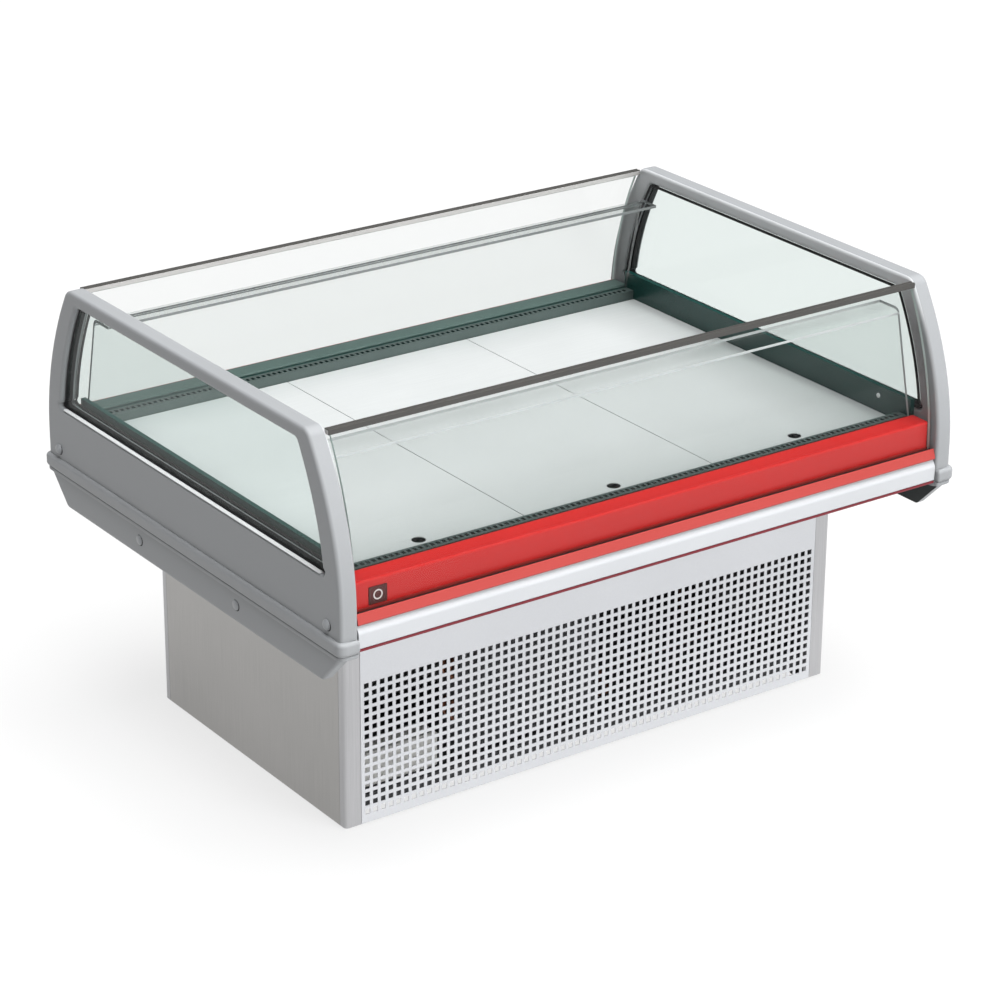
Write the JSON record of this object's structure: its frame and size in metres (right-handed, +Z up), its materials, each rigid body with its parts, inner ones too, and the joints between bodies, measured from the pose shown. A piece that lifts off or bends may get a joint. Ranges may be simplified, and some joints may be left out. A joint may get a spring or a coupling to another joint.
{
  "type": "refrigerated open display case",
  "caption": "Open-topped refrigerated self-service display case: glazed insulated well with red fascia on a vented steel plinth that holds the cooling unit.",
  "frame": {"origin": "centre of the footprint at floor level", "axes": "+X along the length, -Y towards the front, +Z up"},
  "size_m": [1.265, 0.952, 0.765],
  "materials": {
    "moulded_grey": "fine satin moulded plastic",
    "brushed_stainless": "vertical brushing",
    "satin_aluminium": "satin anodised extrusion",
    "silver_paint": "light silver powder coat",
    "red_paint": "smooth red enamel",
    "clear_glass": "clear with a slight green edge",
    "clear_guard": "clear bent sheet",
    "black_rubber": "matt black",
    "grey_bumper": "satin light grey",
    "bronze_anodised": "satin brown-grey anodised",
    "tank_green": "dark green enamel",
    "deck_sheet": "satin sheet",
    "air_grid": "dark grey-green coat",
    "black_paint": "satin black",
    "copper_tube": "drawn copper",
    "fin_stack": "thin mill-finish fins",
    "galvanised_sheet": "galvanised",
    "dark_plastic": "fine texture",
    "pale_plastic": "fine texture"
  },
  "bodies": {
    "case": {"end_panel_left": "moulded_grey", "end_panel_right": "moulded_grey", "side_panel_left": "brushed_stainless", "side_panel_right": "brushed_stainless", "corner_post_fl": "satin_aluminium", "corner_post_fr": "satin_aluminium", "corner_post_rl": "satin_aluminium", "corner_post_rr": "satin_aluminium", "fascia_front": "red_paint", "fascia_rear": "red_paint", "glass_channel_front": "red_paint", "glass_channel_rear": "red_paint", "outer_glass_front": "clear_glass", "outer_glass_rear": "clear_glass", "side_glass_left": "clear_glass", "side_glass_right": "clear_glass", "inner_guard_front": "clear_guard", "inner_guard_rear": "clear_guard", "window_gasket_left": "black_rubber", "window_gasket_right": "black_rubber", "bumper_front": "grey_bumper", "bumper_rear": "grey_bumper", "top_rail_front": "bronze_anodised", "top_rail_rear": "bronze_anodised", "tank": "tank_green", "air_grille_front": "air_grid", "air_grille_rear": "air_grid", "compressor": "black_paint", "condenser_fan_housing": "black_paint", "discharge_pipe": "copper_tube", "suction_pipe": "copper_tube", "liquid_line": "copper_tube", "condenser": "fin_stack", "evaporator": "fin_stack", "base_frame": "galvanised_sheet", "base_tray": "galvanised_sheet", "fan_plate": "galvanised_sheet", "control_panel": "dark_plastic", "cable_gland": "dark_plastic", "evap_motor_left": "dark_plastic", "evap_motor_right": "dark_plastic", "condensate_tray": "pale_plastic", "drain_pipe": "pale_plastic", "electrical_box": "pale_plastic"},
    "front_grille": {"front_grille": "silver_paint"},
    "rear_grille": {"rear_grille": "silver_paint"},
    "deck_left": {"deck_plate_left": "deck_sheet"},
    "deck_centre": {"deck_plate_centre": "deck_sheet"},
    "deck_right": {"deck_plate_right": "deck_sheet"},
    "condenser_fan": {"condenser_fan_blade": "black_paint"},
    "evaporator_fan_left": {"evap_fan_left": "dark_plastic"},
    "evaporator_fan_right": {"evap_fan_right": "dark_plastic"},
    "mains_switch": {"mains_switch": "black_rubber"},
    "key_set": {"control_key_set": "pale_plastic"},
    "key_up": {"control_key_up": "pale_plastic"},
    "key_down": {"control_key_down": "pale_plastic"},
    "foot_fl": {"foot_fl": "black_rubber"},
    "foot_fr": {"foot_fr": "black_rubber"},
    "foot_rl": {"foot_rl": "black_rubber"},
    "foot_rr": {"foot_rr": "black_rubber"}
  },
  "joints": [
    {"name": "front_grille_lift", "type": "slide", "parent": "case", "child": "front_grille", "axis": [0, 0, 1], "range_m": [0, 0.01]},
    {"name": "rear_grille_lift", "type": "slide", "parent": "case", "child": "rear_grille", "axis": [0, 0, 1], "range_m": [0, 0.01]},
    {"name": "deck_left_lift", "type": "slide", "parent": "case", "child": "deck_left", "axis": [0, 0, 1], "range_m": [0, 0.06]},
    {"name": "deck_centre_lift", "type": "slide", "parent": "case", "child": "deck_centre", "axis": [0, 0, 1], "range_m": [0, 0.06]},
    {"name": "deck_right_lift", "type": "slide", "parent": "case", "child": "deck_right", "axis": [0, 0, 1], "range_m": [0, 0.06]},
    {"name": "condenser_fan_spin", "type": "hinge", "parent": "case", "child": "condenser_fan", "pos_m": [-0.12, -0.185, 0.178], "axis": [0, 1, 0], "continuous": true},
    {"name": "evaporator_fan_left_spin", "type": "hinge", "parent": "case", "child": "evaporator_fan_left", "pos_m": [-0.25, -0.061, 0.4505], "axis": [0, 1, 0], "continuous": true},
    {"name": "evaporator_fan_right_spin", "type": "hinge", "parent": "case", "child": "evaporator_fan_right", "pos_m": [0.25, -0.061, 0.4505], "axis": [0, 1, 0], "continuous": true},
    {"name": "mains_switch_rock", "type": "hinge", "parent": "case", "child": "mains_switch", "pos_m": [0.5099, -0.175, 0.27], "axis": [0, 1, 0], "range_deg": [0, 18]},
    {"name": "key_set_press", "type": "slide", "parent": "case", "child": "key_set", "axis": [-1, 0, 0], "range_m": [0, 0.001], "stiffness_N_per_m": 300, "springref_m": -0.001},
    {"name": "key_up_press", "type": "slide", "parent": "case", "child": "key_up", "axis": [-1, 0, 0], "range_m": [0, 0.001], "stiffness_N_per_m": 300, "springref_m": -0.001},
    {"name": "key_down_press", "type": "slide", "parent": "case", "child": "key_down", "axis": [-1, 0, 0], "range_m": [0, 0.001], "stiffness_N_per_m": 300, "springref_m": -0.001},
    {"name": "foot_fl_screw", "type": "slide", "parent": "case", "child": "foot_fl", "axis": [0, 0, -1], "range_m": [0, 0.012]},
    {"name": "foot_fr_screw", "type": "slide", "parent": "case", "child": "foot_fr", "axis": [0, 0, -1], "range_m": [0, 0.012]},
    {"name": "foot_rl_screw", "type": "slide", "parent": "case", "child": "foot_rl", "axis": [0, 0, -1], "range_m": [0, 0.012]},
    {"name": "foot_rr_screw", "type": "slide", "parent": "case", "child": "foot_rr", "axis": [0, 0, -1], "range_m": [0, 0.012]}
  ]
}
